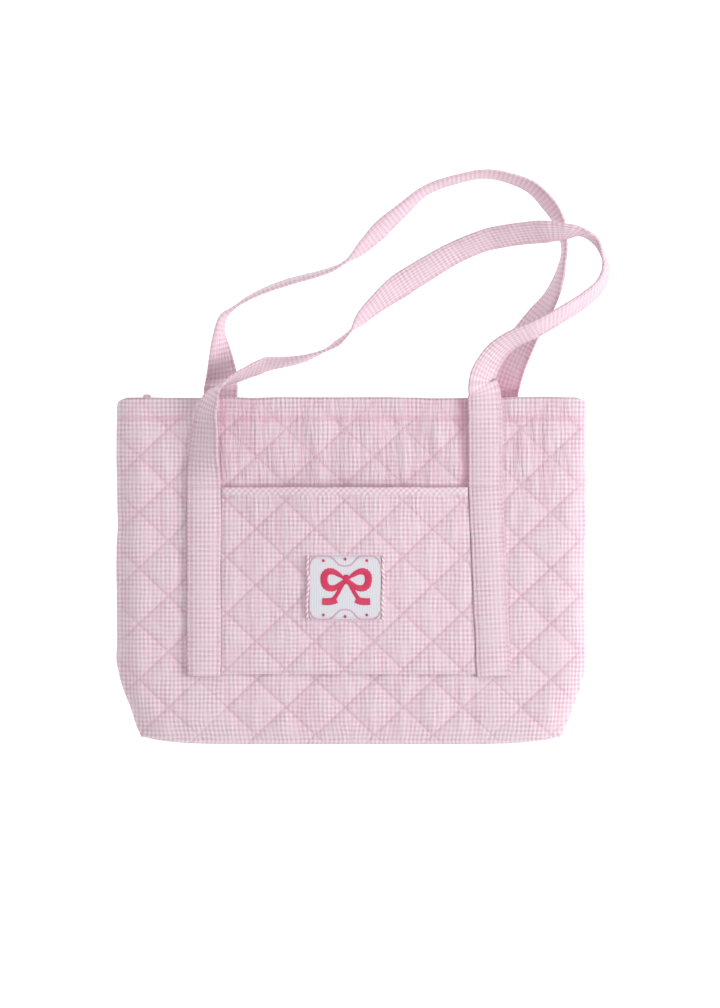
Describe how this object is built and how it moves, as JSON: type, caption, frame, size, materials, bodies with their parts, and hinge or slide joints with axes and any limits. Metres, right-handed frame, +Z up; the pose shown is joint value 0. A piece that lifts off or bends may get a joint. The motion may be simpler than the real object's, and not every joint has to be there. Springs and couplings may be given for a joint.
{
  "type": "diaper bag",
  "caption": "Quilted cloth tote diaper bag with a front slip pocket, a pleated patch with a bow, a zip across the mouth and long handles, lying flat.",
  "frame": {"origin": "on the floor, under the middle of the whole object's box, bag and loose handles together", "axes": "+Z up through the front panel of the bag, which lies on its back; +Y from the bottom seam to the mouth and the handles; +X across the bag, to the right as seen from the front"},
  "size_m": [0.4806, 0.5584, 0.0679],
  "materials": {
    "gingham": "fine pink and white check cotton, quilted",
    "strap_gingham": "fine pink and white check cotton, folded and topstitched",
    "binding_gingham": "the same check cut on the bias",
    "batting": "white polyester wadding",
    "lining": "plain pink cotton",
    "patch": "white cotton in fine upright pleats",
    "piping": "twisted pink and white cord",
    "red_thread": "crimson satin stitch",
    "pink_thread": "pink satin stitch",
    "zip_tape": "woven pink tape",
    "zip_plastic": "white moulded acetal",
    "zip_metal": "white enamelled zinc"
  },
  "bodies": {
    "bag": {"front_cloth": "gingham", "front_batting": "batting", "front_lining": "lining", "front_facing": "gingham", "back_cloth": "gingham", "back_batting": "batting", "back_lining": "lining", "back_facing": "gingham", "pocket_lining": "lining", "pocket_batting": "batting", "pocket_cloth": "gingham", "pocket_binding": "binding_gingham", "patch_cloth": "patch", "patch_piping": "piping", "bow_embroidery": "red_thread", "border_embroidery": "pink_thread", "front_strap_left": "strap_gingham", "front_strap_right": "strap_gingham", "back_strap_left": "strap_gingham", "back_strap_right": "strap_gingham", "zip_tails": "zip_plastic", "zip_tab_left": "gingham", "zip_tab_right": "gingham"},
    "front_handle": {"front_handle": "strap_gingham"},
    "back_handle": {"back_handle": "strap_gingham"},
    "zip_front_half": {"zip_tape_front": "zip_tape", "zip_teeth_front": "zip_plastic"},
    "zip_back_half": {"zip_tape_back": "zip_tape", "zip_teeth_back": "zip_plastic"},
    "zip_slider": {"zip_slider": "zip_metal"},
    "zip_pull": {"zip_pull": "zip_metal"}
  },
  "joints": [
    {"name": "front_handle_swing", "type": "hinge", "parent": "bag", "child": "front_handle", "pos_m": [-0.01831, -0.02924, 0.03314], "axis": [1, 0, 0], "range_deg": [0, 135]},
    {"name": "back_handle_swing", "type": "hinge", "parent": "bag", "child": "back_handle", "pos_m": [-0.00331, -0.02924, 0], "axis": [1, 0, 0], "range_deg": [-150, 0]},
    {"name": "zip_front_flap", "type": "hinge", "parent": "bag", "child": "zip_front_half", "pos_m": [-0.00431, 0.04976, 0.01975], "axis": [1, 0, 0], "range_deg": [-90, 0]},
    {"name": "zip_back_flap", "type": "hinge", "parent": "bag", "child": "zip_back_half", "pos_m": [-0.00431, 0.04976, 0.00965], "axis": [1, 0, 0], "range_deg": [0, 90]},
    {"name": "zip_slide", "type": "slide", "parent": "bag", "child": "zip_slider", "axis": [-1, 0, 0], "range_m": [0, 0.356]},
    {"name": "zip_pull_swing", "type": "hinge", "parent": "zip_slider", "child": "zip_pull", "pos_m": [0.17369, 0.05486, 0.0147], "axis": [0, 0, -1], "range_deg": [0, 135]}
  ]
}
